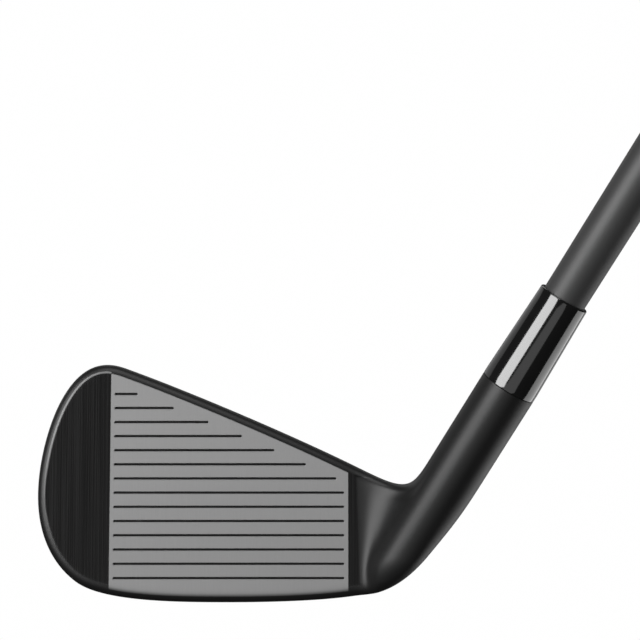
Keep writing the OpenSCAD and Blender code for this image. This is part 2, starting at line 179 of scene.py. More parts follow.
def closedBar(name, first, last):
    # two matching outlines joined by sides and closed by ends
    count = len(first)
    sides = [(i, (i + 1) % count, count + (i + 1) % count, count + i) for i in range(count)]
    ends = [tuple(range(count)), tuple(range(2 * count - 1, count - 1, -1))]
    return buildPiece(name, first + last, ends + sides)


def prism(name, outline, low, high):
    # outline is (x, up) on the face, low and high are depths behind it
    first, last = ([stand(x, up, back) for x, up in outline] for back in (low, high))
    return closedBar(name, first, last)


def turned(name, profile, steps=128, closed=True):
    # profile is (radius, distance up the shaft line), turned round the shaft line
    points, faces = [], []
    for radius, h in profile:
        for i in range(steps):
            a = 2 * math.pi * i / steps
            points.append(onShaft(h) + soleSide * radius * math.cos(a) + shaftFront * radius * math.sin(a))
    rows = len(profile)
    for j in range(rows if closed else rows - 1):
        for i in range(steps):
            k = (i + 1) % steps
            low, high = j * steps, (j + 1) % rows * steps
            faces.append((low + i, low + k, high + k, high + i))
    return buildPiece(name, points, faces)


def rounded(corner, before, after, radius, steps=4):
    # a profile corner rounded by a short curve
    corner, before, after = Vector(corner), Vector(before), Vector(after)
    start = corner + (before - corner).normalized() * radius
    finish = corner + (after - corner).normalized() * radius
    places = []
    for i in range(steps + 1):
        t = i / steps
        places.append(tuple((1 - t) ** 2 * start + 2 * t * (1 - t) * corner + t * t * finish))
    return places


# shader sums

class Wire:
    # a node's output that can be used in sums
    def __init__(self, tree, socket):
        self.tree = tree
        self.socket = socket

    def sum(self, operation, first, second):
        node = self.tree.nodes.new("ShaderNodeMath")
        node.operation = operation
        for place, value in zip(node.inputs, (first, second)):
            if isinstance(value, Wire):
                self.tree.links.new(value.socket, place)
            elif value is not None:
                place.default_value = value
        return Wire(self.tree, node.outputs[0])

    def __add__(self, other):
        return self.sum("ADD", self, other)

    def __radd__(self, other):
        return self.sum("ADD", other, self)

    def __sub__(self, other):
        return self.sum("SUBTRACT", self, other)

    def __rsub__(self, other):
        return self.sum("SUBTRACT", other, self)

    def __mul__(self, other):
        return self.sum("MULTIPLY", self, other)

    def __rmul__(self, other):
        return self.sum("MULTIPLY", other, self)

    def __truediv__(self, other):
        return self.sum("DIVIDE", self, other)

    def __rtruediv__(self, other):
        return self.sum("DIVIDE", other, self)

    def __lt__(self, other):
        return self.sum("LESS_THAN", self, other)

    def __abs__(self):
        return self.sum("ABSOLUTE", self, None)


class Finish:
    # one material with its nodes
    def __init__(self, name):
        self.material = bpy.data.materials.new(name)
        self.material.use_nodes = True
        self.tree = self.material.node_tree
        self.tree.nodes.clear()
        self.place = self.node("TexCoord").outputs["Object"]

    def node(self, kind, settings=None, sockets=None):
        node = self.tree.nodes.new("ShaderNode" + kind)
        for key, value in (settings or {}).items():
            if key == "stops":
                ramp = node.color_ramp.elements
                while len(ramp) < len(value):
                    ramp.new(0.5)
                for stop, (at, shade) in zip(ramp, value):
                    stop.position = at
                    stop.color = (*shade, 1)
            else:
                setattr(node, key, value)
        for key, value in (sockets or {}).items():
            if isinstance(value, Wire):
                self.tree.links.new(value.socket, node.inputs[key])
            elif isinstance(value, bpy.types.NodeSocket):
                self.tree.links.new(value, node.inputs[key])
            else:
                node.inputs[key].default_value = value
        return node

    def out(self, node, output=0):
        return Wire(self.tree, node.outputs[output])

    def noise(self, scale, detail=3.0, rough=0.5, stretch=(1, 1, 1)):
        # scale is in repeats per millimetre, stretch squeezes the pattern along an axis
        spread = self.node("VectorMath", {"operation": "MULTIPLY"},
                           {0: self.place, 1: [s / mm for s in stretch]})
        return self.out(self.node("TexNoise", {"noise_dimensions": "3D"},
                                  {"Vector": spread.outputs[0], "Scale": scale, "Detail": detail,
                                   "Roughness": rough}))

    def along(self, way, start=Vector()):
        # distance from start along a fixed direction, in millimetres
        moved = self.node("VectorMath", {"operation": "SUBTRACT"}, {0: self.place, 1: start * mm})
        dot = self.node("VectorMath", {"operation": "DOT_PRODUCT"}, {0: moved.outputs[0], 1: way})
        return self.out(dot, "Value") / mm

    def blend(self, share, first, second):
        node = self.node("Mix", {"data_type": "RGBA"}, {0: share, 6: first, 7: second})
        return self.out(node, 2)

    def fade(self, value, low, high):
        # 0 at low, 1 at high, smooth between
        node = self.node("MapRange", {"interpolation_type": "SMOOTHSTEP"},
                         {"Value": value, "From Min": low, "From Max": high})
        return self.out(node)

    def bump(self, height, strength, distance=0.01):
        sockets = {"Height": height, "Strength": strength, "Distance": distance * mm}
        return self.out(self.node("Bump", None, sockets))

    def close(self, sockets):
        surface = self.node("BsdfPrincipled", None, sockets)
        self.node("OutputMaterial", None, {"Surface": surface.outputs[0]})
        return self.material


def grey(value, tint=0.0):
    # a near neutral colour, tint above zero leans to blue
    return (value * (1 - tint), value, value * (1 + tint), 1)


def dress(piece, material, replaced=()):
    piece.data.materials.clear()
    piece.data.materials.append(material)
    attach(piece, "root")
    if replaced:
        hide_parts(*replaced)


# camera, floor and light

shot = {
    "elevation": 14.0,
    "distance": 400.0,
    "lens": 97.9,
    "aim": (20.7, 63.84),  # on the face plane
}


def placeCamera():
    data = bpy.data.cameras.new("shotCamera")
    data.sensor_width = 36
    data.lens = shot["lens"]
    data.clip_start = 0.01
    data.clip_end = 50
    camera = bpy.data.objects.new("shotCamera", data)
    bpy.context.scene.collection.objects.link(camera)
    tilt = math.radians(shot["elevation"])
    aim = stand(*shot["aim"], 0) * mm
    camera.location = aim + Vector((0, -math.cos(tilt), math.sin(tilt))) * shot["distance"] * mm
    camera.rotation_euler = (math.pi / 2 - tilt, 0, 0)
    bpy.context.scene.camera = camera


studio = {
    "floorSize": 30.0,
    "roomFill": 0.05,
    # azimuth from the front towards the heel side, elevation, distance, width, height, brightness
    "boxes": {
        "keyBox": (-48, 22, 1.6, 1.1, 1.2, 12.5),
        "frontCard": (-13, -8, 1.6, 1.4, 0.75, 1.0),
        "heelCard": (99, -38, 1.6, 1.5, 0.9, 2.4),
        "farHeelCard": (150, -28, 1.6, 1.5, 0.9, 0.45),
        "backCard": (-142, 8, 1.6, 1.9, 0.8, 0.5),
        "topCard": (0, 77, 1.6, 1.0, 0.9, 5.5),
        "rearCard": (172, 30, 1.6, 1.4, 0.6, 1.2),
    },
}


def softBox(name, azimuth, elevation, distance, width, height, brightness):
    data = bpy.data.lights.new(name, "AREA")
    data.shape = "RECTANGLE"
    data.size = width
    data.size_y = height
    data.energy = brightness * math.pi * width * height
    box = bpy.data.objects.new(name, data)
    bpy.context.scene.collection.objects.link(box)
    a, e = math.radians(azimuth), math.radians(elevation)
    way = Vector((math.sin(a) * math.cos(e), -math.cos(a) * math.cos(e), math.sin(e)))
    box.location = Vector((0.03, 0, 0.06)) + way * distance
    box.rotation_euler = way.to_track_quat("Z", "Y").to_euler()
    box.visible_camera = False
    return box


def buildStudio():
    boxes = [softBox(name, *facts) for name, facts in studio["boxes"].items()]
    half = studio["floorSize"] / 2
    points = [Vector((x, y, 0)) / mm for x, y in ((-half, -half), (half, -half), (half, half), (-half, half))]
    floor = buildPiece("floor", points, [(0, 1, 2, 3)])
    look = Finish("floorPaint")
    cloud = look.noise(0.0004, 2.0)
    glow = look.node("Emission", None, {"Color": look.blend(cloud, grey(1.0), grey(0.995)), "Strength": 1.0})
    look.node("OutputMaterial", None, {"Surface": glow.outputs[0]})
    floor.data.materials.append(look.material)
    floor.data.transform(Matrix.Scale(mm, 4))
    # a shadowless sweep: it is seen, but neither lights nor mirrors in the club
    floor.visible_glossy = False
    floor.visible_diffuse = False
    floor.visible_shadow = False
    world = bpy.data.worlds.new("studioRoom")
    bpy.context.scene.world = world
    world.use_nodes = True
    tree = world.node_tree
    tree.nodes.clear()
    path = tree.nodes.new("ShaderNodeLightPath")
    strength = Wire(tree, path.outputs["Is Camera Ray"]) * (1 - studio["roomFill"]) + studio["roomFill"]
    room = tree.nodes.new("ShaderNodeBackground")
    tree.links.new(strength.socket, room.inputs["Strength"])
    room.inputs["Color"].default_value = (1, 1, 1, 1)
    end = tree.nodes.new("ShaderNodeOutputWorld")
    tree.links.new(room.outputs[0], end.inputs["Surface"])
    scene = bpy.context.scene
    scene.view_settings.view_transform = "Standard"
    scene.view_settings.look = "None"


placeCamera()
buildStudio()
print("camera, floor and lights placed")


# head: one skin from the toe tip to the top of the hosel

def curve(points, t):
    a, b, c, d = (Vector(p) for p in points)
    return (1 - t) ** 3 * a + 3 * (1 - t) ** 2 * t * b + 3 * (1 - t) * t * t * c + t ** 3 * d


def curveWay(points, t):
    a, b, c, d = (Vector(p) for p in points)
    return ((1 - t) ** 2 * (b - a) + 2 * (1 - t) * t * (c - b) + t * t * (d - c)).normalized()


def softCorner(a, b, c, t):
    # round arc from a to c inside the corner b
    first, middle, last = (1 - t) ** 2, 1.4142 * t * (1 - t), t * t
    return (a * first + b * middle + c * last) / (first + middle + last)


def bladeOutline():
    # control points from the toe tip to the heel: over the top, and under the sole
    toe, peak = -blade["toeReach"], blade["toeHeight"]
    heel, heelUp = blade["heelReach"], blade["heelHeight"]
    middle, shoulder = 0.45 * peak, peak - 1.1
    knee, corner = (toe + 4.9, peak - 8.3), (toe + 9, 4.4)
    over = [
        [(toe, middle), (toe, middle + 7.7), (toe + 2.3, peak - 13.25), knee],
        [knee, (toe + 10.8, peak + 3.05), (toe + 17.8, peak - 0.05), (toe + 20.7, shoulder)],
        [(toe + 20.7, shoulder), (toe + 34.1, shoulder - 4.85), (heel - 14.8, heelUp + 7.25), (heel, heelUp)],
    ]
    under = [
        [(toe, middle), (toe, middle - 8.6), (toe + 3.2, 8.5), corner],
        [corner, (toe + 15.3, 0), (-11.2, 0), (0, 0)],
        [(0, 0), (9.8, 0), (heel - 7.8, 0.3), (heel, blade["heelLow"])],
    ]
    return over, under


overLine, underLine = bladeOutline()
bladeStations = sum(blade["stations"][:3])


def outlineAt(line, station):
    # place and outward direction at a station of the outline
    for part, steps in enumerate(blade["stations"][:3]):
        if station <= steps or part == 2:
            t = station / steps
            break
        station -= steps
    way = curveWay(line[part], t)
    out = Vector((-way.y, way.x)) if line is overLine else Vector((way.y, -way.x))
    return curve(line[part], t), out


def backDepth(up):
    drop = (max(up, blade["muscleTop"]) - blade["muscleTop"]) / blade["muscleFade"]
    return blade["toplineThickness"] + (blade["soleDepth"] - blade["toplineThickness"]) / (1 + drop * drop)


def rimInset(back, edge, share):
    run = back * -1 / faceOut.y - blade["soleLow"]
    slope = faceOut.z / -faceOut.y
    return share * ((back - edge) * slope + (run ** 2 - blade["soleLow"] ** 2) / (2 * blade["soleRadius"]))


def rimPlaces(place, out):
    # one rim of the blade, from the edge of the face round to the back
    share = (math.asin(min(max(-out.y, 0), 1)) / (math.pi / 2)) ** blade["rimTurn"]
    edge = blade["toeEdge"] + (blade["longEdge"] - blade["toeEdge"]) * abs(out.y)
    end = backDepth(place.y)
    for _ in range(12):
        end = backDepth(place.y + rimInset(end, edge, share) * share)

    def at(inset, back):
        return Vector((place.x - out.x * inset, place.y - out.y * inset, back))

    rear = blade["rearEdge"]
    inner = at(rimInset(end, edge, share) + rear, 0)
    corners = [
        (at(edge, 0), at(rimInset(0, edge, share), 0), at(rimInset(edge, edge, share), edge)),
        (at(rimInset(end - rear, edge, share), end - rear), at(rimInset(end, edge, share), end),
         Vector((inner.x, inner.y, backDepth(inner.y)))),
    ]
    places = []
    for number, (a, b, c) in enumerate(corners):
        for j in range(blade["edgeSteps"] + number):
            places.append(softCorner(a, b, c, j / blade["edgeSteps"]))
        if number == 0:
            for j in range(blade["rimSteps"]):
                back = edge + (end - rear - edge) * j / blade["rimSteps"]
                places.append(at(rimInset(back, edge, share), back))
    return places


def bladeRing(station):
    over = rimPlaces(*outlineAt(overLine, station))
    under = rimPlaces(*outlineAt(underLine, station))
    steps = blade["spanSteps"]
    behind = [over[-1].lerp(under[-1], j / steps) for j in range(1, steps)]
    for p in behind:
        p.z = backDepth(p.y)
    front = [under[0].lerp(over[0], j / steps) for j in range(1, steps)]
    return over + behind + under[::-1] + front


def ringAngles():
    # angle round the neck for each place in a ring, from the topline towards the face
    edge, rim, span = blade["edgeSteps"], blade["rimSteps"], blade["spanSteps"]
    half = 2 * edge + rim
    marks = [(0, 20), (edge, 8), (edge + rim, -8), (half, -20)]
    marks += [(half + span, -125), (2 * half + span, -262), (2 * half + 2 * span, -340)]
    angles = []
    for (start, low), (stop, high) in zip(marks, marks[1:]):
        for k in range(start, stop):
            angles.append(math.radians(low + (high - low) * (k - start) / (stop - start)))
    return angles


def easeIn(value):
    value = min(max(value, 0), 1)
    return value * value * (3 - 2 * value)


def standOut(place, weight):
    # brings the front of the neck to the hosel's cylinder, with a fillet that starts beside the flat face
    # the cylinder narrows into a ridge where it runs out along the leading edge
    start = blade["heelReach"] + blade["filletStart"]
    rise = min(max((place.z - faceFoot.z) / blade["ridgeRise"], 0), 1)
    share = blade["ridgeShare"]
    radius = blade["hoselRadius"] * (share + (1 - share) * math.sin(rise * math.pi / 2))
    faceY = faceFoot.y + (place.z - faceFoot.z) * faceOut.z / -faceOut.y
    front = faceY - shaftFoot.y
    off = (place - shaftFoot).dot(soleSide)
    offStart = off - (place.x - start) * soleSide.x
    fillet = max((offStart ** 2 - radius ** 2 + front ** 2) / (2 * (radius + front)), 0.01)
    meet = offStart * radius / (radius + fillet)
    reach = front + math.sqrt(max(radius ** 2 - off ** 2, 0))
    if off < meet:
        reach = fillet - math.sqrt(max(fillet ** 2 - max(off - offStart, 0) ** 2, 0))
    weight *= easeIn((place.x - blade["heelReach"]) / blade["filletEase"])
    return Vector((place.x, place.y + (faceY - max(reach, 0) - place.y) * weight, place.z))


def between(low, high, share):
    return low + (high - low) * share


def roundShaft(h, radius, angle):
    # a place round the shaft line, counted from its toe side towards the front
    return onShaft(h) + (shaftFront * math.sin(angle) - soleSide * math.cos(angle)) * radius


def neckLines(heelRing, steps):
    # the neck leaves the blade along the face and meets the hosel along the shaft line
    lines, span = [], blade["spanSteps"]
    for k, (place, angle) in enumerate(zip(heelRing, ringAngles())):
        share = min(max((place.y - blade["heelLow"]) / (blade["heelHeight"] - blade["heelLow"]), 0), 1)
        slope = between(blade["heelRise"], -blade["heelFall"], share)
        leave = (Vector((1, 0, 0)) + faceUp * slope) * between(blade["leaveLow"], blade["leaveHigh"], share)
        turn = (1 - math.cos(angle)) / 2
        hold = between(blade["holdToe"], blade["holdHeel"], turn) + blade["sideHold"] * math.sin(angle) ** 2
        goal = roundShaft(blade["neckStart"], blade["hoselRadius"], angle)
        start = stand(*place)
        across = (k - len(heelRing) + span) / span  # 0 at the leading edge, 1 at the topline
        below = (len(heelRing) - span - k) / (blade["edgeSteps"] + blade["rimSteps"] / 3)
        weight = easeIn(1 - below) * easeIn((1 - across) / blade["frontEase"])
        path = (start, start + leave, goal - shaftWay * hold, goal)
        lines.append([standOut(curve(path, j / steps), weight) for j in range(1, steps + 1)])
    return lines


def headSkin():
    rings = [[stand(*p) for p in bladeRing(i)] for i in range(bladeStations + 1)]
    steps = blade["stations"][3]
    lines = neckLines(bladeRing(bladeStations), steps)
    rings += [[line[j] for line in lines] for j in range(steps)]
    top, radius = blade["hoselTop"], blade["hoselRadius"]
    levels = [(h, radius) for h in blade["hoselLevels"]]
    levels += [(top - below, radius - inside) for below, inside in blade["hoselRounding"]]
    for h, r in levels:
        rings.append([roundShaft(h, r, a) for a in ringAngles()])
    count = len(rings[0])
    points = [p for ring in rings for p in ring]
    for p in points:
        p.z = max(p.z, 0)  # the small flat under the sole
        p.y = min(p.y, cadBox[1].y / mm)
    faces = []
    for i in range(len(rings) - 1):
        for k in range(count):
            n = (k + 1) % count
            faces.append((i * count + k, i * count + n, (i + 1) * count + n, (i + 1) * count + k))
    faces.append(tuple(range((len(rings) - 1) * count, len(rings) * count)))
    return buildPiece("headShell", points, faces)


def insetOutline(margin):
    heelX = blade["heelReach"] + blade["plateHeel"] - margin
    run = blade["heelReach"] - heelX
    top = blade["heelHeight"] + blade["heelFall"] * run - blade["plateTopSlant"] * margin
    over, under = [], []
    for i in range(bladeStations + 1):
        for line, places in ((overLine, over), (underLine, under)):
            place, out = outlineAt(line, i)
            inner = place - out * margin
            if inner.x < heelX - 0.5:
                places.append(tuple(inner))
    low = blade["heelLow"] - blade["plateLowSlope"] * run + margin
    return over + [(heelX, top), (heelX, low)] + under[:0:-1]


hollow = {
    "ledgeWidth": 2.0,
    "backWall": 2.0,
    "boreRadius": 4.8,
    "boreDepth": 28.5,
    "portUp": 17.61,
    "portBack": 6.2,
    "portRadius": 2.2,
    "portHeadRadius": 3.3,
    "portSeat": -39.95,
    "portEnd": -35.25,
    "slotMiddle": 2.25,
    "slotLength": 36.0,
    "slotWidth": 2.2,
    "slotBack": 4.6,
    "slotRun": (-4, 7),  # how far up the face the slot is cut
    "pocketStart": -3,  # in front of the face, so that the cut opens it
    "portStart": -50,  # beyond the toe
    "pastHosel": 2,
}


def acrossRing(x, radius, steps, bend=None):
    # a ring round the plug screw's line, bend(angle, radius) changes its radius
    ring = []
    for i in range(steps):
        a = 2 * math.pi * i / steps
        r = bend(a, radius) if bend else radius
        ring.append(stand(x, hollow["portUp"] + r * math.sin(a), hollow["portBack"] + r * math.cos(a)))
    return ring


def acrossBar(name, radius, start, stop, steps=64):
    # a round bar along X through the toe
    return closedBar(name, acrossRing(start, radius, steps), acrossRing(stop, radius, steps))


def slotBar(name, low, high):
    # rounded slot, running up behind the strike plate
    half = hollow["slotLength"] / 2 - hollow["slotWidth"] / 2
    radius = hollow["slotWidth"] / 2
    outline = []
    for side in (1, -1):
        for i in range(13):
            a = math.radians(-90 + 15 * i) if side > 0 else math.radians(90 + 15 * i)
            x = hollow["slotMiddle"] + side * half + radius * math.cos(a)
            outline.append((x, hollow["slotBack"] + radius + radius * math.sin(a)))
    first, last = ([stand(x, up, back) for x, back in outline] for up in (low, high))
    return closedBar(name, first, last)


def cavityCut():
    # the hollow behind the strike plate: inside the back wall and inside the outline both ways
    margin, steps = blade["plateMargin"] + hollow["ledgeWidth"], 40
    tall, wide = blade["toeHeight"], blade["toeReach"]
    outline = insetOutline(margin)
    profile = [(tall, blade["plateThickness"]), (0, blade["plateThickness"])]
    for j in range(steps + 1):
        up = tall * j / steps
        profile.append((up, backDepth(up) - hollow["backWall"]))
    first, last = ([stand(x, up, back) for up, back in profile] for x in (-wide, wide))
    cavity = closedBar("cavityCut", first, last)
    first, last = ([Vector((x, y, faceFoot.z + up * faceUp.z)) for x, up in outline] for y in (-60, 60))
    upright = closedBar("uprightTrim", first, last)
    cutAway(cavity, [prism("outlineTrim", outline, 0, 30), upright], "INTERSECT")
    return cavity


def boreCut():
    low, high = blade["hoselTop"] - hollow["boreDepth"], blade["hoselTop"] + hollow["pastHosel"]
    radius = hollow["boreRadius"]
    return turned("boreCut", [(0, low), (radius, low), (radius, high), (0, high)], 96, False)


headShell = headSkin()
cutAway(headShell, [
    prism("pocketCut", insetOutline(blade["plateMargin"]), hollow["pocketStart"], blade["plateThickness"]),
    cavityCut(),
    slotBar("slotCut", *hollow["slotRun"]),
    boreCut(),
    acrossBar("portCut", hollow["portRadius"], hollow["portStart"], hollow["portEnd"]),
    acrossBar("portHeadCut", hollow["portHeadRadius"], hollow["portStart"], hollow["portSeat"]),
])
finishPiece(headShell)
print("head shell", len(headShell.data.polygons), "faces")


# strike plate with its score lines

scoreLines = {
    "count": 14,
    "pitch": 3.21,
    "start": 5.0,
    "width": 0.75,
    "depth": 0.45,
    "floor": 0.12,  # half width of the flat at the bottom
    "reach": 26.3,
    "toplineGap": 5.0,
    # depth behind the face, and half width as a share of the line's own
    "walls": ((-0.3, 1.3), (-0.03, 1.12), (0.02, 1), (0.16, 0.8), (0.32, 0.55)),
    "lean": 0.92,  # how far the middle moves up as the line narrows, so that the upper wall stays steep
}


def grooveEnd(up):
    # a score line stops where the topline is a set height above it
    goal = up + scoreLines["toplineGap"]
    first = blade["stations"][0] + blade["stations"][1] // 2
    line = [outlineAt(overLine, i)[0] for i in range(first, bladeStations + 1)]
    for a, b in zip(line, line[1:]):
        if a.y >= goal > b.y:
            return min(scoreLines["reach"], a.x + (b.x - a.x) * (a.y - goal) / (a.y - b.y))
    return scoreLines["reach"]


def grooveCutter():
    # one closed shape for each score line: a rounded trough with a steep upper wall and a narrow floor
    points, faces, arc = [], [], 14
    lip = scoreLines["width"] / 2
    halves = [(back, lip * share) for back, share in scoreLines["walls"]]
    halves.append((scoreLines["depth"], scoreLines["floor"]))
    levels = [(back, half, max(lip - half, 0) * scoreLines["lean"]) for back, half in halves]
    for number in range(scoreLines["count"]):
        up = scoreLines["start"] + number * scoreLines["pitch"]
        ends = (grooveEnd(up) - lip, lip - scoreLines["reach"])
        first = len(points)
        for back, radius, rise in levels:
            for side, turn in zip(ends, (-90, 90)):
                for i in range(arc):
                    a = math.radians(turn + 180 * i / (arc - 1))
                    place = (side + radius * math.cos(a), up + rise + radius * math.sin(a), back)
                    points.append(stand(*place))
        ring, last = 2 * arc, len(levels) - 1
        for j in range(last):
            for i in range(ring):
                low, n = first + j * ring, (i + 1) % ring
                faces.append((low + i, low + n, low + ring + n, low + ring + i))
        faces.append(tuple(first + i for i in range(ring)))
        faces.append(tuple(first + last * ring + i for i in reversed(range(ring))))
    return buildPiece("grooveCut", points, faces)


strikePlate = prism("strikePlate", insetOutline(blade["plateMargin"]), 0, blade["plateThickness"])
cutAway(strikePlate, [grooveCutter()])
finishPiece(strikePlate, 24)
print("strike plate cut with", scoreLines["count"], "score lines")


# ferrule, shaft and grip

fittings = {
    "tipRadius": 4.7,
    "neckRadius": 4.95,
    "buttRadius": 7.6,
    "tipWall": 1.4,
    "buttWall": 1.0,
    "ferruleLength": 23.3,
    "ferruleTop": 5.72,
    "gripLength": 267.0,
    "gripMouth": 9.8,
    "gripButt": 13.2,
    "gripCore": 7.9,
    "capThickness": 4.5,
    "capRadius": 14.19,
    "ventRadius": 1.25,
}
gripPattern = {
    "depth": 0.35,
    "pads": 7,  # half as many diamonds as go round the grip
    "padLength": 9,
    "line": 0.22,  # a larger value makes the lines between the pads wider
    "mouthEnd": 36,  # smooth lengths at the two ends, and the length over which the pattern starts
    "capEnd": 14,
    "ease": 4,
    "bands": (12, 17, 22, 27),  # grooves round the mouth, up from its edge
    "bandWidth": 2,
    "bandDepth": 0.5,
    "bandEdge": 0.45,
}
hoselTop = blade["hoselTop"]
ferruleTop = hoselTop + fittings["ferruleLength"]
gripMouth = clubLength - fittings["gripLength"]
capFloor = clubLength - fittings["capThickness"]


def buildFerrule():
    base, top = blade["hoselRadius"], fittings["ferruleTop"]
    inner, neck = fittings["tipRadius"], fittings["neckRadius"]
    profile = [(inner, hoselTop + 0.02)]
    profile += rounded((base, hoselTop + 0.02), (inner, hoselTop + 0.02), (base, hoselTop + 1.5), 0.12)
    profile += [(base, hoselTop + 0.8), (base, hoselTop + 1.5)]
    for i in range(1, 12):
        t = i / 12
        profile.append((base + (top - base) * t, hoselTop + 1.5 + (ferruleTop - 1.9 - hoselTop) * t))
    profile += rounded((top, ferruleTop), (base, hoselTop + 1.5), (neck, ferruleTop), 0.35, 5)
    profile.append((neck, ferruleTop))
    return turned("ferruleCollar", profile, 160)


def buildShaft():
    tip, neck, butt = fittings["tipRadius"], fittings["neckRadius"], fittings["buttRadius"]
    tipEnd = hoselTop - hollow["boreDepth"] + 0.5
    taperEnd = gripMouth - 5
    outer = [(tip, tipEnd), (tip, hoselTop), (neck, ferruleTop)]
    for i in range(1, 25):
        outer.append((neck + (butt - neck) * i / 24, ferruleTop + (taperEnd - ferruleTop) * i / 24))
    outer.append((butt, capFloor))
    inner = [(butt - fittings["buttWall"], capFloor), (butt - fittings["buttWall"], taperEnd),
             (tip - fittings["tipWall"], hoselTop), (tip - fittings["tipWall"], tipEnd)]
    return turned("shaftTube", outer + inner, 144)


def gripOutside(h):
    low, high = gripMouth + 7, capFloor
    growth = fittings["gripButt"] - fittings["gripMouth"]
    return fittings["gripMouth"] + growth * max(h - low, 0) / (high - low)


def gripCut(h, a):
    # depth of the moulded pattern: diamond pads between smooth ends, with bands by the mouth
    fromMouth, toCap = h - gripMouth, capFloor - h
    width = gripPattern["bandWidth"]
    for band in gripPattern["bands"]:
        if 0 < fromMouth - band < width:
            edge = min(fromMouth - band, band + width - fromMouth)
            return gripPattern["bandDepth"] * min(1, edge / gripPattern["bandEdge"])
    ease, pads = gripPattern["ease"], gripPattern["pads"] * a
    ends = min(max((fromMouth - gripPattern["mouthEnd"]) / ease, 0), 1)
    ends *= min(max((toCap - gripPattern["capEnd"]) / ease, 0), 1)
    rise = math.pi * h / gripPattern["padLength"]
    line = min(abs(math.sin(pads + rise)), abs(math.sin(pads - rise)))
    return gripPattern["depth"] * ends * max(0, 1 - line / gripPattern["line"])


def buildGrip():
    steps, rows = 168, 470
    heights = [gripMouth + 1.2 + (capFloor - 0.4 - gripMouth - 1.2) * j / rows for j in range(rows + 1)]
    core, inner, mouth = fittings["gripCore"], fittings["buttRadius"], fittings["gripMouth"]
    profile = [(core, capFloor), (core, gripMouth + 4), (inner, gripMouth + 4), (inner, gripMouth)]
    profile += [(mouth - 0.9, gripMouth), (mouth - 0.45, gripMouth + 0.15), (mouth - 0.12, gripMouth + 0.6)]
    end = (gripOutside(capFloor) - 0.15, capFloor - 0.1)
    points, faces = [], []
    table = [(r, h, False) for r, h in profile] + [(None, h, True) for h in heights] + [(*end, False)]
    table.append((gripOutside(capFloor) - 0.5, capFloor, False))
    for radius, h, textured in table:
        for i in range(steps):
            a = 2 * math.pi * i / steps
            r = gripOutside(h) - gripCut(h, a) if textured else radius
            points.append(onShaft(h) + soleSide * r * math.cos(a) + shaftFront * r * math.sin(a))
    for j in range(len(table)):
        for i in range(steps):
            n = (i + 1) % steps
            low, high = j * steps, (j + 1) % len(table) * steps
            faces.append((low + i, low + n, high + n, high + i))
    return buildPiece("gripRubber", points, faces)


def buildCap():
    vent, radius = fittings["ventRadius"], fittings["capRadius"]
    profile = [(vent, capFloor)]
    profile += rounded((radius, capFloor), (vent, capFloor), (radius, clubLength), 0.5)
    profile += rounded((radius, clubLength), (radius, capFloor), (vent, clubLength), 3.75, 10)
    profile += [(8.4, clubLength), (8.1, clubLength - 0.35), (7.3, clubLength - 0.35), (7.0, clubLength),
                (vent + 0.3, clubLength), (vent, clubLength - 0.3)]
    return turned("gripEndCap", profile, 128)


ferruleCollar = buildFerrule()
shaftTube = buildShaft()
gripRubber = buildGrip()
gripEndCap = buildCap()
for piece in (ferruleCollar, shaftTube, gripEndCap):
    finishPiece(piece, 40)
finishPiece(gripRubber, 60, False)
print("ferrule, shaft and grip turned")


# plug screw

plug = {
    "headHeight": 1.4,
    "sealThickness": 0.5,
    "headRadius": 3.2,
    "socketRadius": 1.5,
    "socketDepth": 1.0,
    "threadPitch": 0.5,
    "threadDepth": 0.12,
}


def sixSided(a, radius):
    # radius of a hexagon's side at an angle, from the radius of its corners
    part = math.radians(30) - abs(a % math.radians(60) - math.radians(30))
    return radius * math.cos(math.radians(30)) / math.cos(math.radians(30) - part)


def buildPlug():
    # profile along X from the head's outside inwards, with a six-sided socket
    seat = hollow["portSeat"] - plug["sealThickness"]
    outer = seat - plug["headHeight"]
    shank = hollow["portRadius"] - 0.1
    head = plug["headRadius"]
    profile = [(plug["socketRadius"] + 0.25, outer), (head - 0.3, outer), (head - 0.08, outer + 0.1)]
    profile += [(head, outer + 0.35), (head, seat), (shank, seat), (shank, hollow["portSeat"] + 0.2)]
    x = hollow["portSeat"] + 0.2
    while x < hollow["portEnd"] - 0.9:  # thread ridges
        profile += [(shank - plug["threadDepth"], x + 0.15), (shank, x + 0.4)]
        x += plug["threadPitch"]
    profile += [(shank - 0.4, hollow["portEnd"] - 0.4), (0.001, hollow["portEnd"] - 0.4)]
    steps = 72
    points, faces = [], []
    for radius, x in profile:
        points += acrossRing(x, radius, steps)
    for x in (outer + 0.15, outer + plug["socketDepth"]):
        points += acrossRing(x, plug["socketRadius"], steps, sixSided)
    rows = len(profile)
    pairs = [(j, j + 1) for j in range(rows - 1)] + [(rows, 0), (rows + 1, rows)]
    for low, high in pairs:
        for i in range(steps):
            n = (i + 1) % steps
            faces.append((low * steps + i, low * steps + n, high * steps + n, high * steps + i))
    faces.append(tuple((rows + 1) * steps + i for i in range(steps)))
    return buildPiece("plugScrew", points, faces, 0.002)


plugScrew = buildPlug()
finishPiece(plugScrew, 40)
print("plug screw made")

# finishes

headCoat = {
    "fieldHalf": 27.1,  # half width of the blasted field
    "fieldLight": 0.178,
    "fieldDark": 0.135,
    "fieldRough": 0.55,
    "blackHead": 0.005,
    "blackRough": 0.42,
    "brushedRough": 0.22,  # on the flat of the toe
    "blackShine": 0.23,
    "highlightTone": 0.11,  # painted highlight: thin light line along the upper edge of the toe, standing in for the lamp's reflection on the rim
    "fieldEase": 0.06,
    "grooveShade": (-0.26, -0.2),  # between these depths the field gives way to black deep in the score lines: painted shade in the grooves
    "rimReach": (0.03, 0.28),  # how far the field goes onto the rim: everywhere, and added near the sole
    "flatEase": (0.06, 0.01),  # distance from the face's plane over which the brushing fades out
    "highlightDepth": 0.055,  # the painted highlight line's place behind the face, its fade, and where up the face it starts
    "highlightEase": (0.05, 0.025),
    "highlightRise": (18, 42),
}


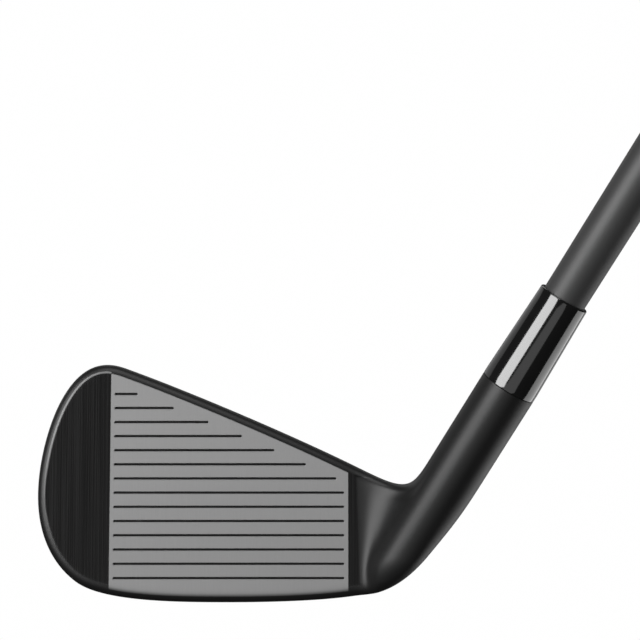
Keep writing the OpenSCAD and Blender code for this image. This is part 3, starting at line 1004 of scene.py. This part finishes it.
def headFinish(name, plate):
    # black coating; the blasted field runs across the strike plate and onto the rim round it
    look = Finish(name)
    across = look.along(Vector((1, 0, 0)))
    depth = look.along(faceOut, faceFoot)
    height = look.along(faceUp, faceFoot)
    half = headCoat["fieldHalf"]
    field = look.fade(abs(across), half + headCoat["fieldEase"], half - headCoat["fieldEase"])
    if plate:
        # painted shade: the deep part of each score line is coloured black
        field = field * look.fade(depth, *headCoat["grooveShade"])
    else:
        everywhere, nearSole = headCoat["rimReach"]
        reach = look.fade(height, 6, 3) * nearSole + everywhere
        field = field * look.fade(depth * -1 / reach, 1, 0)
    streak = look.noise(9, 3, 0.6, (1, 0.02, 0.02))
    grain = look.noise(7, 2, 0.5)
    patch = look.noise(0.08, 2, 0.5)
    # random mottle of the blasted field, plus painted light: the field is painted lighter towards the top of
    # the face
    mottleAndTopLight = streak * 0.5 + grain * 0.2 + look.fade(height, 0, 50) * 0.3
    blasted = look.blend(mottleAndTopLight, grey(headCoat["fieldDark"]), grey(headCoat["fieldLight"]))
    brushed = look.fade(look.noise(4, 3, 0.6, (1, 0.004, 0.004)), 0.3, 0.7)
    flat = look.fade(abs(depth), *headCoat["flatEase"])
    tone = headCoat["blackHead"]
    black = look.blend(brushed * flat, grey(tone * 0.8), grey(tone * 1.7))
    # painted highlight: a thin light grey line on the upper toe's rim, where the lamp's reflection falls
    paintedHighlight = look.fade(abs(depth + headCoat["highlightDepth"]), *headCoat["highlightEase"])
    paintedHighlight = paintedHighlight * look.fade(height, *headCoat["highlightRise"]) * (across < -half)
    black = look.blend(paintedHighlight, black, grey(headCoat["highlightTone"]))
    rough = headCoat["blackRough"] + (patch - 0.5) * 0.05
    brushing = headCoat["brushedRough"] + (brushed - 0.5) * 0.05
    rough = rough * (1 - flat) + brushing * flat
    relief = streak * field * 0.5 + grain * field * 0.5 + brushed * flat * (1 - field)
    return look.close({
        "Base Color": look.blend(field, black, blasted),
        "Roughness": rough * (1 - field) + field * headCoat["fieldRough"],
        "Metallic": field * 0.2,
        "Specular IOR Level": headCoat["blackShine"],
        "Normal": look.bump(relief, 0.25, 0.01),
    })


def ferruleFinish():
    look = Finish("ferruleBlack")
    haze = look.noise(0.3, 3, 0.5)
    scratch = look.noise(5, 3, 0.7)
    return look.close({
        "Base Color": look.blend(haze, grey(0.0025), grey(0.004)),
        "Roughness": haze * 0.03 + 0.085,
        "Coat Weight": 0.2,
        "Coat Roughness": 0.06,
        "Normal": look.bump(scratch, 0.03, 0.004),
    })


def shaftFinish():
    look = Finish("shaftGrey")
    speck = look.noise(9, 2, 0.6)
    drift = look.noise(0.05, 3, 0.5)
    return look.close({
        "Base Color": look.blend(speck * 0.6 + drift * 0.4, grey(0.03), grey(0.04)),
        "Roughness": drift * 0.06 + 0.46,
        "Metallic": 0.45,
        "Specular IOR Level": 0.25,
        "Normal": look.bump(speck, 0.08, 0.006),
    })


def rubberFinish(name, shade, rough):
    look = Finish(name)
    grain = look.noise(3, 4, 0.6)
    dust = look.noise(0.12, 3, 0.6)
    return look.close({
        "Base Color": look.blend(look.fade(dust, 0.45, 0.75), grey(shade), grey(shade * 1.7)),
        "Roughness": grain * 0.12 + rough,
        "Normal": look.bump(grain, 0.35, 0.04),
    })


def metalFinish(name, low, high, rough, scale=2.0, warm=(1, 1, 1)):
    look = Finish(name)
    turn = look.noise(scale, 4, 0.6)
    stain = look.noise(0.2, 3, 0.5)
    lowTone = tuple(low * w for w in warm) + (1,)
    highTone = tuple(high * w for w in warm) + (1,)
    return look.close({
        "Base Color": look.blend(turn * 0.5 + stain * 0.5, lowTone, highTone),
        "Roughness": turn * 0.15 + rough,
        "Metallic": 1.0,
        "Normal": look.bump(turn, 0.15, 0.02),
    })


def softFinish(name, low, high, scale, rough):
    look = Finish(name)
    spread = look.node("VectorMath", {"operation": "MULTIPLY"}, {0: look.place, 1: [1 / mm] * 3})
    cells = look.node("TexVoronoi", {"feature": "F1"}, {"Vector": spread.outputs[0], "Scale": scale})
    cell = look.out(cells, "Distance")
    tone = look.noise(0.15, 3, 0.5)
    return look.close({
        "Base Color": look.blend(tone * 0.6 + cell * 0.4, (*low, 1), (*high, 1)),
        "Roughness": cell * 0.15 + rough,
        "Normal": look.bump(cell, 0.4, 0.08),
    })


dress(headShell, headFinish("blackHead", False), ["head_body"])
dress(strikePlate, headFinish("blastedPlate", True), ["face_plate"])
dress(ferruleCollar, ferruleFinish(), ["ferrule"])
dress(shaftTube, shaftFinish(), ["shaft"])
dress(gripRubber, rubberFinish("gripBlack", 0.012, 0.62), ["grip_sleeve"])
dress(gripEndCap, rubberFinish("capBlack", 0.010, 0.5), ["grip_cap"])
dress(plugScrew, metalFinish("screwSteel", 0.05, 0.09, 0.28), ["port_screw"])

innerLooks = {
    "toe_weight": metalFinish("sinteredTungsten", 0.3, 0.42, 0.45, 3.0, (1, 0.97, 0.92)),
    "foam_core": softFinish("curedFoam", (0.62, 0.55, 0.36), (0.8, 0.74, 0.54), 1.4, 0.7),
    "slot_insert": rubberFinish("slotRubber", 0.01, 0.55),
    "port_seal": rubberFinish("sealRubber", 0.008, 0.5),
    "hosel_bond": softFinish("epoxyBond", (0.14, 0.14, 0.11), (0.22, 0.22, 0.18), 2.0, 0.25),
    "tip_weight": metalFinish("turnedBrass", 0.6, 0.8, 0.3, 1.5, (1, 0.76, 0.36)),
    "grip_tape": softFinish("gripTape", (0.6, 0.56, 0.46), (0.74, 0.7, 0.6), 0.8, 0.8),
}
for name, material in innerLooks.items():
    nodes[name].data.materials.clear()
    nodes[name].data.materials.append(material)
print("finishes given to", 7 + len(innerLooks), "pieces")
